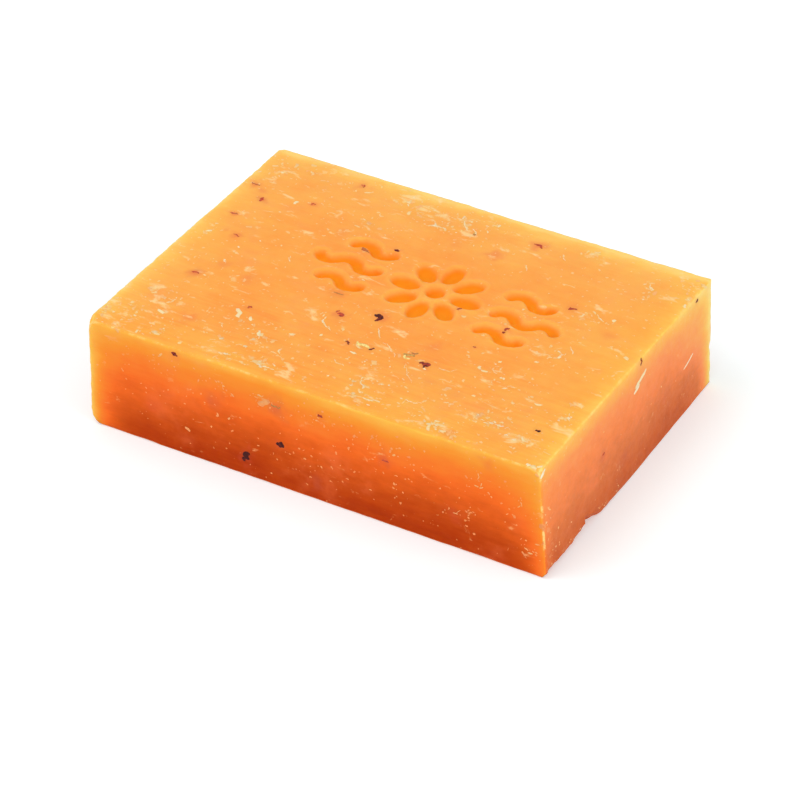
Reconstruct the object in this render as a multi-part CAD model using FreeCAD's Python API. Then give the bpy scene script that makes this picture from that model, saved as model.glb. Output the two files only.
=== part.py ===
import FreeCAD, Part
import math
import os

# A hand-cut bar of soap with a flower and waves pressed into its top face. Sizes are millimetres and degrees.
# X runs along the bar, Y from its front face to its back face, and Z up from the face that it rests on.
# While it is made, the bar's front left foot is at 0, 0, 0. It is then centred over the origin.

# The block, as it was cut. Its right end leans, so that its foot stands out past its top edge.
top_length = 88.8
block_width = 65.3
block_height = 22.0
right_lean_front = 1.9
right_lean_back = 0.85
left_lean = 0.5

# Edges worn round.
top_edge_radius = 0.5
foot_edge_radius = 0.5
left_foot_radius = 3.4
upright_edge_radius = 0.6
front_left_radius = 1.3

# The foot of the right end is worn off at the front. There the wear is wear_height up the end and
# wear_depth in along the underside. A chip with one steep side follows, and tapers out towards the back.
wear_height = 1.5
wear_depth = 1.1
chip_start = 14.8
chip_height = 3.1
chip_depth = 2.2
chip_length = 6.5
chip_tail_height = 0.7
chip_tail_depth = 0.6
chip_fade_length = 11.0

# The pressed design: a daisy between three waves on each side. Its centre is measured from the front
# left corner of the top face, and the die sat a little askew. Sizes are those at the top face.
design_x = 48.4
design_y = 37.4
design_turn = -2.4
design_depth = 1.3
design_draft = 0.35      # how much narrower a pocket is at its floor, on each side
petal_count = 8
petal_length = 5.8
petal_width = 3.6
petal_root = 3.2         # from the daisy's centre to where a petal starts
eye_diameter = 3.6
wave_width = 2.3
wave_rise = 1.0          # height of a crest's centre line above the middle of the wave
crest_length = 3.9       # from one crossing of the middle line to the next
wave_start = 12.2        # from the design's centre to the near end of a wave's centre line
wave_spacing = 5.8
middle_wave_crest_count = 3
outer_wave_crest_count = 2

overshoot = 2.0          # how far a cutting shape reaches past the surface that it cuts


def point(x, y, z):
    return FreeCAD.Vector(x, y, z)


def loop(corners):
    """Closed outline through corners."""
    return Part.makePolygon(corners + corners[:1])


def lean_at(y):
    """How far the foot of the right end stands out past its top edge, at y from the front face."""
    return right_lean_front + (right_lean_back - right_lean_front) * y / block_width


def end_x(y, z):
    """X of the right end's surface at y from the front face and z above the resting face."""
    return top_length + lean_at(y) * (1 - z / block_height)


def cut_block():
    """The block with sharp edges: its foot outline joined to its top outline by straight lines."""
    foot = loop([
        point(-left_lean, 0, 0),
        point(end_x(0, 0), 0, 0),
        point(end_x(block_width, 0), block_width, 0),
        point(-left_lean, block_width, 0),
    ])
    top = loop([
        point(0, 0, block_height),
        point(top_length, 0, block_height),
        point(top_length, block_width, block_height),
        point(0, block_width, block_height),
    ])
    return Part.makeLoft([foot, top], True, True)


def edge_radius(edge):
    """Rounding of one edge of the block, found from where the middle of the edge is."""
    middle = edge.CenterOfMass
    if middle.z > block_height - top_edge_radius:
        return top_edge_radius
    if middle.z > foot_edge_radius:
        at_front_left = middle.x < top_length / 2 and middle.y < block_width / 2
        return front_left_radius if at_front_left else upright_edge_radius
    return left_foot_radius if middle.x < foot_edge_radius else foot_edge_radius


def round_edges(block):
    """The block with every edge rounded, each by its own radius."""
    document = FreeCAD.newDocument("bar")
    sharp = document.addObject("Part::Feature", "sharp")
    sharp.Shape = block
    rounded = document.addObject("Part::Fillet", "rounded")
    rounded.Base = sharp
    rounded.Edges = [
        (number, edge_radius(edge), edge_radius(edge))
        for number, edge in enumerate(block.Edges, start=1)
    ]
    document.recompute()
    return rounded.Shape


def broken_section(y, height, depth):
    """Outline at y of what is gone from the right end's foot.

    The break runs straight from the end's surface, at height, to the underside, at depth from the foot.
    The outline goes past both, and out beyond the foot.
    """
    on_end = point(end_x(y, height), y, height)
    on_underside = point(end_x(y, 0) - depth, y, 0)
    reach = (on_end - on_underside).normalize() * overshoot
    high = on_end + reach
    low = on_underside - reach
    outside = max(high.x, end_x(y, 0)) + overshoot
    return loop([high, point(outside, y, high.z), point(outside, y, low.z), low])


def broken_foot():
    """What wear and the chip took off the right end's foot, as three pieces with straight sides."""
    chip_end = chip_start + chip_length
    stretches = [
        ((-overshoot, wear_height, wear_depth), (chip_start, wear_height, wear_depth)),
        ((chip_start, chip_height, chip_depth), (chip_end, chip_tail_height, chip_tail_depth)),
        (
            (chip_end, chip_tail_height, chip_tail_depth),
            (chip_end + chip_fade_length, foot_edge_radius / 4, foot_edge_radius / 4),
        ),
    ]
    return [
        Part.makeLoft([broken_section(*front), broken_section(*back)], True, True)
        for front, back in stretches
    ]


def pocket(outline):
    """A pressed pocket in the top face that narrows evenly to its floor.

    outline(inset, z) gives the pocket's edge at height z, moved inwards by inset.
    """
    lip = outline(-design_draft * overshoot / design_depth, block_height + overshoot)
    floor = outline(design_draft, block_height - design_depth)
    return Part.makeLoft([floor, lip], True, True)


def petal(angle):
    """One petal of the daisy: an ellipse that points away from the centre."""
    def outline(inset, z):
        ellipse = Part.Ellipse(point(0, 0, 0), petal_length / 2 - inset, petal_width / 2 - inset)
        wire = Part.Wire(ellipse.toShape())
        wire.translate(point(petal_root + petal_length / 2, 0, z))
        wire.rotate(point(0, 0, 0), point(0, 0, 1), angle)
        return wire

    return pocket(outline)


def daisy():
    """Petals in a ring round a round eye."""
    def eye_outline(inset, z):
        return Part.Wire(Part.makeCircle(eye_diameter / 2 - inset, point(0, 0, z)))

    petals = [petal(360 * number / petal_count) for number in range(petal_count)]
    return petals + [pocket(eye_outline)]


def wave(middle_y, crests):
    """A wavy groove of even width with round ends, on the right of the daisy.

    Its centre line is a chain of equal arcs, bent up and down in turn, that meet in one direction.
    """
    arc_radius = (crest_length ** 2 / 4 + wave_rise ** 2) / (2 * wave_rise)
    half_turn = math.asin(crest_length / 2 / arc_radius)

    def arc(number, offset, z):
        """Stretch of the groove's edge along one crest, offset to the left of the centre line."""
        bend = 1 if number % 2 == 0 else -1
        centre_x = wave_start + (number + 0.5) * crest_length
        centre_y = middle_y + bend * (wave_rise - arc_radius)
        radius = arc_radius + bend * offset
        return [
            point(centre_x + radius * math.sin(turn), centre_y + bend * radius * math.cos(turn), z)
            for turn in (-half_turn, 0, half_turn)
        ]

    def outline(inset, z):
        half_width = wave_width / 2 - inset
        left = [arc(number, half_width, z) for number in range(crests)]
        right = [arc(number, -half_width, z)[::-1] for number in reversed(range(crests))]
        last_bend = 1 if crests % 2 else -1
        far_end = point(
            wave_start + crests * crest_length + half_width * math.cos(half_turn),
            middle_y - last_bend * half_width * math.sin(half_turn),
            z,
        )
        near_end = point(
            wave_start - half_width * math.cos(half_turn),
            middle_y - half_width * math.sin(half_turn),
            z,
        )
        caps = [[left[-1][2], far_end, right[0][0]], [right[-1][2], near_end, left[0][0]]]
        arcs = left + caps[:1] + right + caps[1:]
        return Part.Wire([Part.Arc(*three).toShape() for three in arcs])

    return pocket(outline)


def waves():
    """Three waves on the right, the middle one longest, and the same three turned round on the left."""
    right = [
        wave(wave_spacing, outer_wave_crest_count),
        wave(0, middle_wave_crest_count),
        wave(-wave_spacing, outer_wave_crest_count),
    ]
    left = [groove.copy() for groove in right]
    for groove in left:
        groove.rotate(point(0, 0, 0), point(0, 0, 1), 180)
    return right + left


def pressed_design():
    """All pockets of the design, turned as the die sat and put in their place on the top face."""
    pockets = daisy() + waves()
    for shape in pockets:
        shape.rotate(point(0, 0, 0), point(0, 0, 1), design_turn)
        shape.translate(point(design_x, design_y, 0))
    return pockets


def soap_bar():
    """The whole bar, centred over the origin with its resting face at z = 0."""
    bar = round_edges(cut_block())
    bar = bar.cut(broken_foot())
    bar = bar.cut(pressed_design())
    box = bar.optimalBoundingBox(False)
    bar.translate(point(-(box.XMin + box.XMax) / 2, -(box.YMin + box.YMax) / 2, -box.ZMin))
    return bar


bar = soap_bar()
print("solids", len(bar.Solids), "valid", bar.isValid(), "volume cm3", round(bar.Volume / 1000, 2))
print("box", bar.optimalBoundingBox(False))
os.makedirs("parts", exist_ok=True)
bar.exportStep("parts/soap_bar.step")
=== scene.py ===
import math
import bpy
import numpy as np
from mathutils import Matrix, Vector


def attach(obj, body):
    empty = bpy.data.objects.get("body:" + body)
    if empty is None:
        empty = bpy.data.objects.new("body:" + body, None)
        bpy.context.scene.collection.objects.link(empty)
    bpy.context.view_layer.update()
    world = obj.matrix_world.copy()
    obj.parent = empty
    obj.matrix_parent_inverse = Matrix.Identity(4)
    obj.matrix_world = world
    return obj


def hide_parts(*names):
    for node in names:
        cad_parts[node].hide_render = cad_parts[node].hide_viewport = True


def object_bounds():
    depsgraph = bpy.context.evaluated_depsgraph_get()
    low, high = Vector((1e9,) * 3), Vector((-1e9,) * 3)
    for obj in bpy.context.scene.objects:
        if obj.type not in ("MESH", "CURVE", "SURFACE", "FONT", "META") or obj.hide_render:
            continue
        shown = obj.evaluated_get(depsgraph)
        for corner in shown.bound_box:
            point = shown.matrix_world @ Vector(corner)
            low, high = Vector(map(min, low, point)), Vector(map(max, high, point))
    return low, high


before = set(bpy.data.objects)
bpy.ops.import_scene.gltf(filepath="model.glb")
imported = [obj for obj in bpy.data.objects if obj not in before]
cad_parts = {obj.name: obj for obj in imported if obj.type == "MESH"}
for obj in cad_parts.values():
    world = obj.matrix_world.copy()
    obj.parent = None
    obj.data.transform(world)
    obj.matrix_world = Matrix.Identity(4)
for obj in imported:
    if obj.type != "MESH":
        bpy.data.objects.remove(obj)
cadLow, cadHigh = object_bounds()
mm = 0.001

# The bar as it was cut, in millimetres from its front left foot: x along it, y to the back, z up
bar = {
    "length": 88.8,  # of the top face
    "width": (cadHigh.y - cadLow.y) / mm,
    "height": (cadHigh.z - cadLow.z) / mm,
    "leanFront": 1.9,  # how far the right end's foot stands out past its top edge
    "leanBack": 0.85,
    "leanLeft": 0.5,
    "topRadius": 0.5,
    "footRadius": 0.5,
    "leftFootRadius": 3.4,
    "uprightRadius": 0.6,
    "frontLeftRadius": 1.3,
    "skin": 0.12,  # the surface lies this far inside the cut size, and crumbs reach out to it
    "clear": 0.01,  # and everything stays this far inside the CAD's box
    "cellsAlong": 264,
    "cellsAcross": 190,
    "cellsUp": 46,
    "footRings": 5,
}

# Damage: y, height up the end and depth along the underside of what is gone from the right end's foot
brokenFoot = {
    "y": (-2, 8.4, 14.7, 14.9, 18, 21.3, 32.3, 34),
    "height": (1.5, 1.2, 1.7, 3.1, 2, 0.7, 0.2, 0),
    "depth": (1.1, 1, 1.3, 2.2, 1.5, 0.6, 0.2, 0),
}

# The pressed design: a daisy between waves
design = {
    "x": 48.4,
    "y": 37.4,
    "turn": -2.4,
    "depth": 1.3,
    "rim": 0.32,  # the wall's slope starts this far outside a pocket's edge
    "foot": 0.72,  # and ends this far inside it
    "petals": 8,
    "petalLength": 5.8,
    "petalWidth": 3.6,
    "petalRoot": 3.2,
    "eye": 3.6,
    "waveWidth": 2.3,
    "waveRise": 1.0,
    "crestLength": 3.9,
    "waveStart": 12.2,
    "waveSpacing": 5.8,
    "middleCrests": 3,
    "outerCrests": 2,
    "lip": 0.09,  # how far the face stands up round a pocket
    "pull": 0.9,  # mesh lines this near to a pocket's wall are drawn towards it
}

length, width, height = bar["length"], bar["width"], bar["height"]
leftmost = -bar["leanLeft"] * (1 - bar["leftFootRadius"] / height)
origin = np.array([cadLow.x / mm - leftmost, cadLow.y / mm, cadLow.z / mm])
cadBox = np.array([cadLow, cadHigh]) / mm - origin


def smooth(value, start, end):
    # 3t^2 - 2t^3, where t goes from 0 at start to 1 at end
    t = np.clip((value - start) / (end - start), 0, 1)
    return t * t * (3 - 2 * t)


def bump(value, middle, half):
    # 1 at middle, falling smoothly to 0 at half on each side
    return 1 - smooth(np.abs(value - middle), 0, half)


def softNoise(points, cell, seed):
    # Random values from -1 to 1 on a cubic lattice, blended by 3t^2 - 2t^3 between the eight round a point
    size = 37
    lattice = np.random.default_rng(seed).uniform(-1, 1, (size, size, size))
    scaled = points / cell
    base = np.floor(scaled).astype(int)
    t = scaled - base
    t = t * t * (3 - 2 * t)
    total = np.zeros(len(points))
    for corner in np.ndindex(2, 2, 2):
        share = np.where(corner, t, 1 - t).prod(axis=1)
        at = (base + corner) % size
        total += share * lattice[at[:, 0], at[:, 1], at[:, 2]]
    return total


# What is uneven, as layers of soft noise: amount, cell in millimetres and seed. Amounts are millimetres in
# the first group, levels of green in the second, and shares of the value that they vary in the third
noises = {
    "wavy": [(0.06, 9, 1), (0.04, 3.3, 2), (0.025, 1.3, 3)],
    "drag": [(0.05, 0.9, 4)],
    "saw": [(0.04, 1.4, 5)],
    "edge": [(0.06, 0.7, 6)],
    "underside": [(0.12, 6, 7)],
    "pocketEdge": [(0.1, 1.6, 31), (0.05, 0.6, 32)],
    "border": [(0.5, 3, 41), (0.3, 1.2, 42)],

    "light": [(5, 11, 43), (4, 4, 44), (2.5, 1.5, 45)],

    "radius": [(0.2, 5, 11), (0.1, 1.6, 12)],
    "footRadius": [(0.12, 9, 13)],
    "break": [(0.18, 1.1, 21), (0.18, 3.2, 22)],
    "nick": [(0.12, 1.3, 23), (0.25, 2.6, 24)],
    "pocketDepth": [(0.1, 6, 33), (0.08, 1.4, 34)],
    "lip": [(0.8, 1.8, 35)],
}


def uneven(points, name):
    return sum(amount * softNoise(points, cell, seed) for amount, cell, seed in noises[name])


def spreadLines(extent, cells, zones):
    # cells + 1 places from 0 to extent, closer together in each zone (start, end, gain): equal steps
    # of the running total of 1 + gain, with the gain faded in and out over twice fade
    fade = 1.5
    fine = np.linspace(0, extent, 4001)
    density = np.ones_like(fine)
    for start, end, gain in zones:
        risen, fallen = (smooth(fine, place - fade, place + fade) for place in (start, end))
        density += gain * risen * (1 - fallen)
    total = np.concatenate([[0], np.cumsum(density[1:] + density[:-1])])
    return np.interp(np.linspace(0, total[-1], cells + 1), total, fine)


def barGrid():
    # The closed grid of a plain box: a top sheet, rows that go down from its border, and rings that shrink
    # to a point under the foot
    nx, ny, nz = bar["cellsAlong"], bar["cellsAcross"], bar["cellsUp"]
    edge = 3.0
    xLines = spreadLines(length, nx, [(-3, edge, 0.8), (length - edge, length + 3, 0.8), (22, 73.5, 0.55)])
    yLines = spreadLines(width, ny, [(-3, edge, 0.8), (width - edge, width + 3, 0.8), (26.5, 48.5, 0.7)])
    zLines = spreadLines(height, nz, [(-3, 3.5, 0.8), (height - 2.5, height + 3, 1.0)])[::-1]
    gx, gy = np.meshgrid(xLines, yLines, indexing="ij")
    topIndex = np.arange(gx.size).reshape(gx.shape)
    top = np.stack([gx.ravel(), gy.ravel(), np.full(gx.size, height)], 1)
    border = np.concatenate([topIndex[:-1, 0], topIndex[-1, :-1], topIndex[:0:-1, -1], topIndex[0, :0:-1]])
    outline = top[border] * (1, 1, 0)
    middle = np.array([length / 2, width / 2, 0])
    shares = 1 - np.arange(1, bar["footRings"] + 1) / (bar["footRings"] + 1)
    loops = [outline + (0, 0, z) for z in zLines[1:]]
    loops += [middle + (outline - middle) * share for share in shares]
    last = gx.size + len(loops) * len(border)
    sides = np.concatenate([border, np.arange(gx.size, last)]).reshape(-1, len(border))
    after = np.roll(sides, -1, axis=1)
    corners = (
        (topIndex[:-1, :-1], topIndex[1:, :-1], topIndex[1:, 1:], topIndex[:-1, 1:]),
        (sides[:-1], sides[1:], after[1:], after[:-1]),
    )
    quads = np.concatenate([np.stack(four, -1).reshape(-1, 4) for four in corners])
    fan = np.stack([sides[-1], np.full(len(border), last), after[-1]], 1)
    points = np.concatenate([top, *loops, middle[None]])
    return points, quads, fan, topIndex, sides[:nz + 1], (xLines, yLines, zLines)


def ontoArc(a, b, radius):
    # a and b are the distances in from two faces. A point nearer than radius to both goes straight towards
    # the edge's arc centre until it lies on the arc
    da, db = radius - a, radius - b
    reach = np.hypot(da, db)
    moved = (da > 0) & (db > 0) & (reach > radius)
    scale = np.where(moved, radius / np.maximum(reach, 1e-9), 1)
    return radius - da * scale, radius - db * scale


def roundEdges(p):
    # Every edge of the box in turn, with a radius that noise varies along the edge
    wear = 1 + uneven(p, "radius")
    x, y, z = p.T.copy()
    upright = bar["uprightRadius"] * wear
    x, y = ontoArc(x, y, bar["frontLeftRadius"] * wear)
    x, back = ontoArc(x, width - y, upright)
    right, y = ontoArc(length - x, width - back, upright)
    right, back = ontoArc(right, width - y, upright)
    x, y = length - right, width - back
    x, z = ontoArc(x, z, bar["leftFootRadius"] * (1 + uneven(p, "footRadius")))
    top, foot = bar["topRadius"] * wear, bar["footRadius"] * wear
    x, down = ontoArc(x, height - z, top)
    right, down = ontoArc(length - x, down, top)
    right, z = ontoArc(right, height - down, foot)
    y, z = ontoArc(y, z, foot)
    y, down = ontoArc(y, height - z, top)
    back, down = ontoArc(width - y, down, top)
    back, z = ontoArc(back, height - down, foot)
    return np.stack([length - right, width - back, z], 1)


def endLean(y):
    # How far the right end's foot stands out past its top edge, evenly from front to back
    return bar["leanFront"] + (bar["leanBack"] - bar["leanFront"]) * y / width


def leanEnds(p):
    # Each end leans outwards in proportion to the depth below the top
    x, y, z = p.T
    below = 1 - z / height
    shifted = x + endLean(y) * below * x / length - bar["leanLeft"] * below * (1 - x / length)
    return np.stack([shifted, y, z], 1)


def cutBack(p, onEdge, outward, depth):
    # A point past the plane that lies depth inside onEdge moves straight back onto it
    outward = np.array(outward) / np.linalg.norm(outward)
    past = np.maximum((p - onEdge) @ outward + depth, 0)
    return p - past[:, None] * outward


# Nicks and worn stretches: a point on the edge, the direction that the cut faces, its depth from the sharp
# edge and, except at a corner, the axis that it runs along and its middle and half length there
nicks = {
    "frontRightCorner": ((1, 0, 1), (1, -1, 1.1), 0.95),
    "rightTopBack": ((1, 0, 1), (1, 0, 1), 0.55, 1, 57, 8),
    "rightTopMiddle": ((1, 0, 1), (1, 0, 1), 0.4, 1, 31, 9),
    "backRightUpright": ((1, 1, 0), (1, 1, 0), 0.62, 2, 8, 1.8),
    "backLeftCorner": ((0, 1, 1), (-1, 1, 1), 0.75),
    "frontLeftCorner": ((0, 0, 1), (-1, -1, 1.3), 1.25),
    "leftTopFront": ((0, 0, 1), (-1, 0, 1), 0.6, 1, 0, 4),
    "leftUprightTop": ((0, 0, 1), (-1, -1, 0), 0.75, 2, 22, 5),
    "backTopRight": ((0, 1, 1), (0, 1, 1), 0.28, 0, 76, 14),
    "frontTopLeft": ((0, 0, 1), (0, -1, 1), 0.4, 0, 22, 3.5),
    "frontTopMiddle": ((0, 0, 1), (0, -1, 1), 0.42, 0, 53, 4.5),
    "frontTopRight": ((0, 0, 1), (0, -1, 1), 0.38, 0, 67, 3.5),
}


def wearAndChip(p):
    # The break runs from the end's surface to the underside, a slanted line in each slice across y.
    # Points outside it move at right angles onto it
    ragged = 1 + uneven(p, "break")
    x, y, z = p.T
    up, inward = (np.interp(y, brokenFoot["y"], brokenFoot[name]) * ragged for name in ("height", "depth"))
    lean = endLean(y)
    run = inward - lean * up / height
    size = np.hypot(up, run) + 1e-6
    past = ((x - (length + lean - inward)) * up - z * run) / size
    past = np.where((z < up + 1.5) & (x > length - 6) & (up > 0.05), np.maximum(past, 0), 0)
    p = np.stack([x - past * up / size, y, z + past * run / size], 1)
    rough = 1 + uneven(p, "nick")
    for edge, outward, depth, *stretch in nicks.values():
        share = bump(p[:, stretch[0]], *stretch[1:]) if stretch else 1
        # The back right upright leans out below its top, and so does its cut
        out = 0.6 * bar["leanBack"] * (edge[2] == 0)
        onEdge = np.array(edge) * (length, width, height) + (out, 0, 0)
        p = cutBack(p, onEdge, outward, np.where(share > 0, depth * share * rough, -9))
    return p


def turnedFrom(x, y, angle, forward, sideways):
    # Places in a plane, measured forward and sideways from x, y in a direction
    return np.array([
        x + math.cos(angle) * forward - math.sin(angle) * sideways,
        y + math.sin(angle) * forward + math.cos(angle) * sideways,
    ])


def pocketDistance(x, y):
    # Distance in plan to the edge of the nearest pressed pocket, below zero inside one. Petals are
    # ellipses, the eye a circle, and a wave is what lies near a chain of arcs
    u, v = turnedFrom(0, 0, -math.radians(design["turn"]), x - design["x"], y - design["y"])
    found = np.hypot(u, v) - design["eye"] / 2
    a, b = design["petalLength"] / 2, design["petalWidth"] / 2
    for number in range(design["petals"]):
        angle = 2 * math.pi * number / design["petals"]
        along, across = turnedFrom(-design["petalRoot"] - a, 0, -angle, u, v)
        k1 = np.hypot(along / a, across / b)
        k2 = np.hypot(along / a ** 2, across / b ** 2)
        found = np.minimum(found, k1 * (k1 - 1) / np.maximum(k2, 1e-6))
    step, rise = design["crestLength"], design["waveRise"]
    radius = (step ** 2 / 4 + rise ** 2) / (2 * rise)
    half = math.asin(step / 2 / radius)
    for side in (1, -1):
        for level in (1, 0, -1):
            for number in range(design["outerCrests" if level else "middleCrests"]):
                bend = 1 if number % 2 == 0 else -1
                qx = side * u - design["waveStart"] - (number + 0.5) * step
                qy = side * v - level * design["waveSpacing"] - bend * (rise - radius)
                turned = np.clip(np.arctan2(qx, bend * qy), -half, half)
                reach = np.hypot(qx - radius * np.sin(turned), qy - bend * radius * np.cos(turned))
                found = np.minimum(found, reach - design["waveWidth"] / 2)
    return found


def pressDesign(p, topMask):
    # Lines near a pocket's wall are drawn towards it, then the face sinks by the depth times a smooth step
    # across the wall, and a wider step rounds the floor. Floors are uneven, and the lips stand up a little
    x, y = p[:, 0], p[:, 1]
    small = 0.05
    middle = (design["rim"] - design["foot"]) / 2
    near = pocketDistance(x, y)
    slopeX = (pocketDistance(x + small, y) - pocketDistance(x - small, y)) / (2 * small)
    slopeY = (pocketDistance(x, y + small) - pocketDistance(x, y - small)) / (2 * small)
    off = near - middle
    pulled = np.where(np.abs(off) < design["pull"], off * (np.abs(off) / design["pull"]) ** 0.35, off)
    shift = (pulled - off) * topMask
    x = x + shift * slopeX
    y = y + shift * slopeY
    near = pocketDistance(x, y) + uneven(p, "pocketEdge")
    wall, hollow = smooth(near, -design["foot"], design["rim"]), smooth(near, -1.8, 0.2)
    sunk = topMask * (0.86 - 0.86 * wall + 0.14 - 0.14 * hollow)
    depth = design["depth"] * (1 + uneven(p, "pocketDepth"))
    lip = design["lip"] * bump(near, design["rim"] + 0.3, 0.6) * (1 + uneven(p, "lip")) * topMask
    return np.stack([x, y, p[:, 2] - sunk * depth + lip], 1), sunk, near


def pointNormals(points, quads, fan):
    # Sum of the normals of the faces round each point
    total = np.zeros_like(points)
    for faces in (quads, fan):
        # A triangle's last corner counts twice, which gives the same normal
        a, b, c, d = (points[faces[:, corner]] for corner in (0, 1, 2, -1))
        normal = np.cross(c - a, d - b)
        for corner in faces.T:
            for axis in range(3):
                total[:, axis] += np.bincount(corner, normal[:, axis], len(points))
    return total / np.maximum(np.linalg.norm(total, axis=1), 1e-12)[:, None]


def toFrame(points):
    # Millimetres from the front left foot to metres in the part's frame
    return (points + origin) * mm


def addObject(name, data):
    thing = bpy.data.objects.new(name, data)
    bpy.context.scene.collection.objects.link(thing)
    return thing


def axesAt(right, up, back, place):
    # The matrix of a camera or lamp with these unit axes, at place
    rows = [(right[axis], up[axis], back[axis], place[axis]) for axis in range(3)]
    return Matrix([*rows, (0, 0, 0, 1)])


def addPiece(name, points, faceLists, attributes):
    mesh = bpy.data.meshes.new(name)
    faces = [face for part in faceLists for face in part.tolist()]
    mesh.from_pydata(toFrame(points), [], faces)
    for label, values in attributes.items():
        layer = mesh.attributes.new(label, "FLOAT", "POINT")
        layer.data.foreach_set("value", np.asarray(values, np.float32))
    mesh.shade_smooth()
    mesh.update()
    piece = addObject(name, mesh)
    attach(piece, "root")
    return piece


# The two axes of a place on each face that is seen
faceAxes = {"top": (0, 1), "front": (0, 2), "right": (1, 2)}

# Soft spots where a bit of petal or herb lies under the surface: place on the face, size, strength, and how
# red it is (0 brown, 1 red)
sunkenBits = {
    "top": [
        (8.7, 21.8, 1.3, 0.5, 0.5), (19.8, 61, 1.3, 0.4, 0.8), (33.7, 28.5, 1.6, 0.25, 0.4),
        (6.5, 48, 1, 0.6, 0.7), (2.8, 51.8, 1.3, 0.5, 0.9), (5.2, 50.6, 1, 0.35, 1),
        (4.5, 41.6, 0.9, 0.5, 1), (8.7, 35.5, 1, 0.4, 0.9), (6.2, 36.2, 0.8, 0.3, 1),
        (51.8, 52.9, 1.5, 0.45, 1), (17.6, 24.9, 1.6, 0.3, 1), (15.6, 9.3, 1.5, 0.35, 1),
        (56.3, 22.5, 1.8, 0.25, 0.9), (37.5, 23.2, 1, 0.45, 0.7), (70.6, 1.8, 1.3, 0.4, 0.8),
        (24.8, 46, 1.8, 0.2, 1), (66.8, 12, 1.8, 0.2, 1), (80.8, 40, 1.6, 0.2, 1),
        (57.2, 59.4, 1.5, 0.5, 1), (15.3, 51.3, 0.8, 0.5, 1), (11.5, 26.5, 1.3, 0.25, 1),
        (44, 52, 1.4, 0.15, 1), (60.5, 13, 1.4, 0.2, 1),
    ],
    "front": [
        (58.9, 13.4, 1.2, 0.45, 0.2), (45.6, 3.4, 1.3, 0.5, 0.1), (25, 13.4, 1.8, 0.5, 0.2),
        (38.4, 16.6, 1.7, 0.45, 0.2), (12.8, 8, 1.6, 0.25, 0.8), (71.8, 7, 1.6, 0.25, 0.6),
        (78.8, 19.5, 1.4, 0.35, 0.9),
    ],
    "right": [
        (30.5, 6, 1.4, 0.45, 0.1), (22, 11.3, 1.3, 0.4, 0.2), (46, 8, 1.7, 0.2, 0.5),
        (12, 6, 1.5, 0.2, 0.6),
    ],
}


def spotStrength(p, face, flat):
    # Each spot is a bell curve of the distance to its middle in the face, bent out of round by noise. Bits
    # of plant at the surface get a fainter one round them
    total = np.zeros((2, len(p)))
    first, second = p[:, faceAxes[face]].T
    halos = [
        (x, y, 0.35 + 0.5 * long, 0.42 - 0.3 * tone, 0.75) for x, y, long, _, _, tone in plantBits[face]
    ]
    for x, y, size, strength, red in sunkenBits[face] + halos:
        reach = np.hypot(first - x, second - y) / size
        reach = reach * (1 + 0.6 * softNoise(p, 0.7 * size, int(10 * x)))
        bell = strength * np.exp(-reach ** 2 * 1.6) * flat
        total += bell * np.array([[1 - red], [red]])
    return total


# How much light comes through the soap, as the green of its colour from 0 to 255: by depth below the top on
# the front and the right end, and by distance to the border on the top. Towards the foot the front and the
# right end are darker partly as painted shade, and the top is paler than the sides partly as painted light
glow = {
    "depth": (0, 1, 2, 4, 7, 11, 15, 19, 22),
    # The front and right profiles fall towards the foot partly as painted shade
    "front": (178, 163, 149, 135, 117, 94, 77, 62, 57),
    "right": (196, 182, 167, 146, 134, 122, 110, 95, 88),
    "uprightFade": 2.7,  # an upright edge's light fades by e over this distance
    "frontLeft": (-0.8, 190),  # added to that distance, and the green right at the edge
    "backLeft": (-0.3, 200),
    "frontRight": (0.9, 186),
    "backRight": (-1.0, 216),
    "aroundCorner": 3.6,  # added on the right end, which the front edge lights less
    "top": (0, 0.5, 1.2, 2.1, 3.3, 5, 8, 22),
    "atTop": (212, 204, 191, 183, 175, 169, 166, 155),
    "frontTopOffset": 5.0,  # light hardly comes through the front top edge
    "backTopOffset": -0.8,
    "rightTopOffset": 0.8,
    "under": 100,
    "pocket": 150,
    # a painted highlight along the lip round each pocket
    "rim": 9,
}


def paintedLightAndShade(flat, isTop, isRight, under, sunk, nearPocket):
    # On the front and right end the profile by depth, darker towards the foot partly as painted shade,
    # elsewhere on the sides their mean, drawn towards each upright edge's value by exp(-distance / fade)
    # On the top the profile by distance to the border, paler partly as painted light, with a painted
    # highlight round each pocket's lip, and in a pocket one value for pressed soap
    x, y, z = flat.T
    side = np.interp(height - z, glow["depth"], glow["front"])
    right = np.interp(height - z, glow["depth"], glow["right"])
    right = right + 18 * smooth(y, 42, 60) * smooth(z, 6, 14)
    side = side + 15 * bump(x, 58, 24) * smooth(z, 17, 20.5) + 7 * bump(x, 8, 15) * (1 - smooth(z, 7, 13))
    plain = smooth(y, 0, 8) * (1 - isRight)
    side = side + (right - side) * np.maximum(isRight, 0.5 * plain)
    back, far = width - y, length - x
    for name, dx, dy in (
        ("frontLeft", x, y), ("backLeft", x, back), ("frontRight", far, y), ("backRight", far, back),
    ):
        offset, level = glow[name]
        reach = np.hypot(dx, dy) + offset + glow["aroundCorner"] * isRight * (name == "frontRight")
        side = side + (level - side) * np.minimum(np.exp(-reach / glow["uprightFade"]), 1)
    nearBorder = np.minimum(
        np.minimum(x, back + glow["backTopOffset"]),
        np.minimum(far + glow["rightTopOffset"], y + glow["frontTopOffset"]),
    )
    nearBorder = nearBorder + uneven(flat, "border")
    top = np.interp(nearBorder, glow["top"], glow["atTop"])
    light = side + (top - side) * isTop
    light = light + (glow["under"] - light) * under
    light = light + uneven(flat, "light") * (0.45 + 0.55 * isTop)
    # A painted highlight along the lip round each pocket
    light = light + glow["rim"] * bump(nearPocket, 0.45, 0.7) * isTop
    return light + (glow["pocket"] - light) * smooth(sunk, 0.15, 0.8)


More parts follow.
